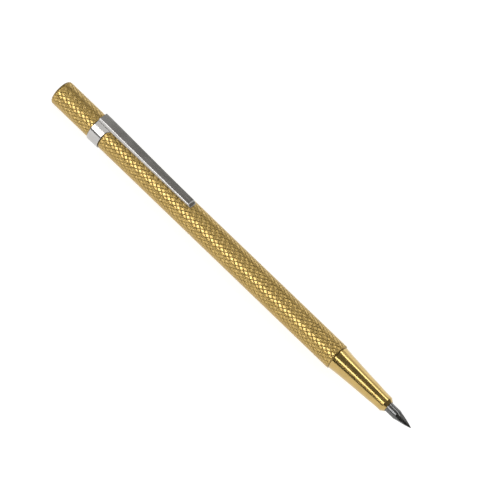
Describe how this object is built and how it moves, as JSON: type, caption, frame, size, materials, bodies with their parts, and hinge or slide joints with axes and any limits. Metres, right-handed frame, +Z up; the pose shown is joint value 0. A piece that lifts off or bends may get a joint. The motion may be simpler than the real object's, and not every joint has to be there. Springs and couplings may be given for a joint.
{
  "type": "pocket scriber",
  "caption": "Pencil-shaped scriber with a knurled brass handle, sprung steel pocket clip, screwed cap, tapered nose and ground hard point for scratching lines in metal.",
  "frame": {"origin": "centre of the bounding box's footprint, on the ground under the handle", "axes": "+X along the handle towards the point, +Z up through the clip, +Y across"},
  "size_m": [0.14, 0.0086, 0.0097],
  "materials": {
    "barrel": "diamond-knurled bright brass",
    "end_cap": "diamond-knurled bright brass",
    "cap_stud": "plain threaded steel",
    "clip_bush": "turned brass",
    "clip_collar": "polished plated spring steel",
    "clip_blade": "polished plated spring steel",
    "nose_cone": "smooth turned and polished brass",
    "chuck_collet": "dark hardened steel",
    "carbide_point": "ground tungsten carbide, dark grey"
  },
  "bodies": {
    "handle": {"barrel": "barrel"},
    "clip_carrier": {"clip_bush": "clip_bush"},
    "cap": {"end_cap": "end_cap", "cap_stud": "cap_stud"},
    "clip_ring": {"clip_collar": "clip_collar"},
    "clip_spring": {"clip_blade": "clip_blade"},
    "collet": {"chuck_collet": "chuck_collet"},
    "nose": {"nose_cone": "nose_cone"},
    "point": {"carbide_point": "carbide_point"}
  },
  "joints": [
    {"name": "cap_travel", "type": "slide", "parent": "handle", "child": "clip_carrier", "axis": [-1, 0, 0], "range_m": [0, 0.004]},
    {"name": "cap_turn", "type": "hinge", "parent": "clip_carrier", "child": "cap", "pos_m": [-0.05495, 0, 0.00434], "axis": [-1, 0, 0], "range_deg": [0, 1801]},
    {"name": "clip_swivel", "type": "hinge", "parent": "clip_carrier", "child": "clip_ring", "pos_m": [-0.05465, 0, 0.00434], "axis": [1, 0, 0], "continuous": true},
    {"name": "clip_flex", "type": "hinge", "parent": "clip_ring", "child": "clip_spring", "pos_m": [-0.0546, 0, 0.00934], "axis": [0, -1, 0], "range_deg": [0, 4], "stiffness_Nm_per_rad": 4},
    {"name": "nose_travel", "type": "slide", "parent": "handle", "child": "collet", "axis": [1, 0, 0], "range_m": [0, 0.00375]},
    {"name": "nose_turn", "type": "hinge", "parent": "collet", "child": "nose", "pos_m": [0.04185, 0, 0.00434], "axis": [1, 0, 0], "range_deg": [0, 1801]},
    {"name": "point_slide", "type": "slide", "parent": "collet", "child": "point", "axis": [1, 0, 0], "range_m": [-0.008, 0.012]}
  ],
  "couplings": [
    {"joint": "cap_turn", "follows": "cap_travel", "rad_per_m": 7854},
    {"joint": "nose_turn", "follows": "nose_travel", "rad_per_m": 8377.6}
  ]
}
